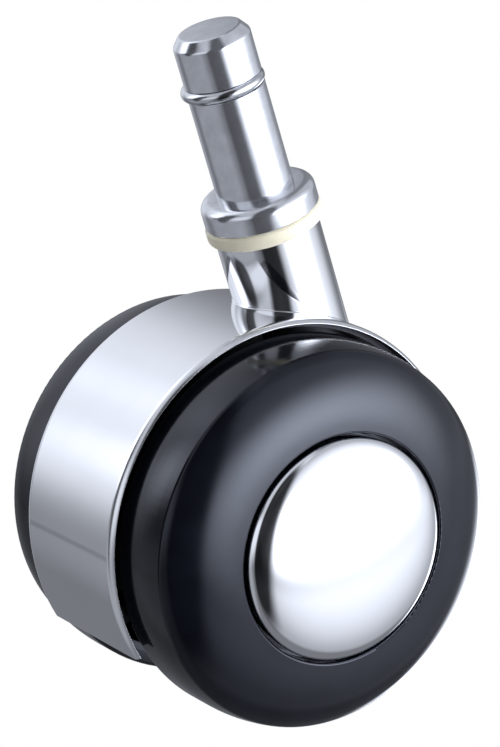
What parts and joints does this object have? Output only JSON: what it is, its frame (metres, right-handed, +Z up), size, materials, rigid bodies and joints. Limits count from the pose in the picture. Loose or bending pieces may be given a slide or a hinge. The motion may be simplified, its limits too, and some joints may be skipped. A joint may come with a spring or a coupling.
{
  "type": "twin-wheel furniture castor",
  "caption": "Swivel castor with a plug-in grip-ring stem, a polished arched hood on a round neck and free-turning black side wheels with bright domed hub caps.",
  "frame": {"origin": "centre of the stem at the collar's top face, where the castor seats against its socket", "axes": "+Z up along the stem, +X forwards in the direction of rolling, so the axle trails behind at -X, and +Y to the left along the axle"},
  "size_m": [0.0521, 0.0512, 0.0861],
  "materials": {
    "stem_steel": "turned steel, zinc plated, semi-bright",
    "spring_steel": "bright spring steel",
    "plain_steel": "plain zinc-plated steel",
    "ivory_nylon": "natural ivory nylon, satin",
    "hood_chrome": "bright chrome on a die casting",
    "cap_chrome": "bright chrome on a moulded cap",
    "wheel_black": "glossy black moulded nylon",
    "bush_bronze": "plain sintered bronze"
  },
  "bodies": {
    "stem": {"swivel_stem": "stem_steel", "grip_ring": "spring_steel", "stem_washer": "plain_steel", "stem_clip": "spring_steel"},
    "hood": {"hood": "hood_chrome", "upper_bush": "ivory_nylon", "lower_bush": "ivory_nylon", "axle": "plain_steel", "spacer_left": "ivory_nylon", "spacer_right": "ivory_nylon", "thrust_washer_left": "plain_steel", "thrust_washer_right": "plain_steel", "axle_lock_left": "spring_steel", "axle_lock_right": "spring_steel"},
    "left_wheel": {"wheel_left": "wheel_black", "hub_bush_left": "bush_bronze", "hub_cap_left": "cap_chrome"},
    "right_wheel": {"wheel_right": "wheel_black", "hub_bush_right": "bush_bronze", "hub_cap_right": "cap_chrome"}
  },
  "joints": [
    {"name": "swivel", "type": "hinge", "parent": "stem", "child": "hood", "pos_m": [0, 0, 0], "axis": [0, 0, 1], "continuous": true},
    {"name": "left_roll", "type": "hinge", "parent": "hood", "child": "left_wheel", "pos_m": [-0.0144, 0, -0.03914], "axis": [0, 1, 0], "continuous": true},
    {"name": "right_roll", "type": "hinge", "parent": "hood", "child": "right_wheel", "pos_m": [-0.0144, 0, -0.03914], "axis": [0, 1, 0], "continuous": true}
  ]
}
